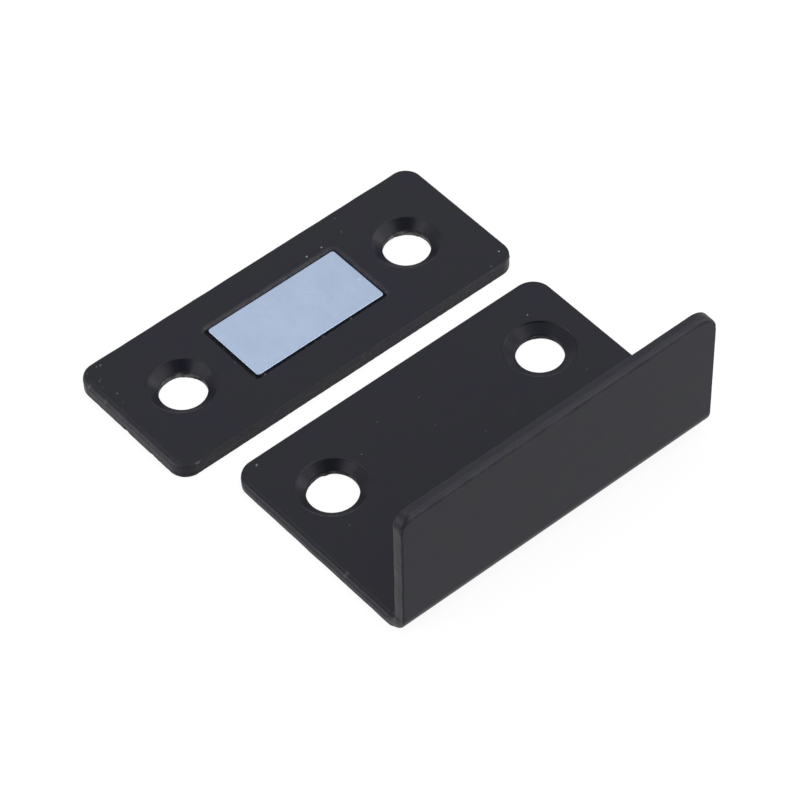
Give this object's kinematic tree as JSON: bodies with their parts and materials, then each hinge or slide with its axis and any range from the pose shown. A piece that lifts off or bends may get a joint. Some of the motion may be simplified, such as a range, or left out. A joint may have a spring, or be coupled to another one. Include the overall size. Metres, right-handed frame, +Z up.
{
  "type": "magnetic catch",
  "caption": "Thin magnetic catch: a flat countersunk plate with a block magnet let into it, and an angled steel strike plate that it holds.",
  "frame": {"origin": "middle of the carrier plate's back face, which stands on the same surface as the strike plate's base", "axes": "+X runs along both plates, +Y points from the strike plate to the carrier plate, +Z is up, out of the magnet's face"},
  "size_m": [0.04, 0.0435, 0.0162],
  "materials": {
    "carrier_coat": "satin",
    "magnet_plating": "satin",
    "glue": "satin",
    "strike_coat": "satin"
  },
  "bodies": {
    "root": {"carrier_plate": "carrier_coat", "magnet": "magnet_plating", "adhesive_ring": "glue", "strike_plate": "strike_coat"}
  },
  "joints": []
}
